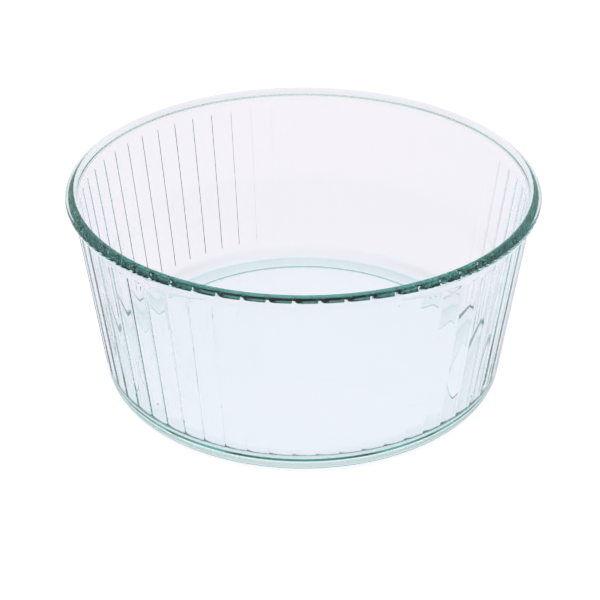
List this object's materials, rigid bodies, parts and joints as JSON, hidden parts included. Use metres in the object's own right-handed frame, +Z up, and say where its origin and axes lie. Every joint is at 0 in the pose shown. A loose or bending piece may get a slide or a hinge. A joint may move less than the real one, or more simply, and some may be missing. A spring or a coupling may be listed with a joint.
{
  "type": "souffle dish",
  "caption": "Round clear-glass souffle dish with nearly straight reeded sides, a rounded rim and a flat base, open at the top.",
  "frame": {"origin": "middle of the base, at the height of the table it stands on", "axes": "+Z up through the open mouth, -Y towards the front, with the groove between two reeds on -Y"},
  "size_m": [0.22, 0.22, 0.098],
  "materials": {
    "tinted_glass": "clear, fire polished, with a green-blue tint that shows in the rim and the thick edges"
  },
  "bodies": {
    "root": {"glass_dish": "tinted_glass"}
  },
  "joints": []
}
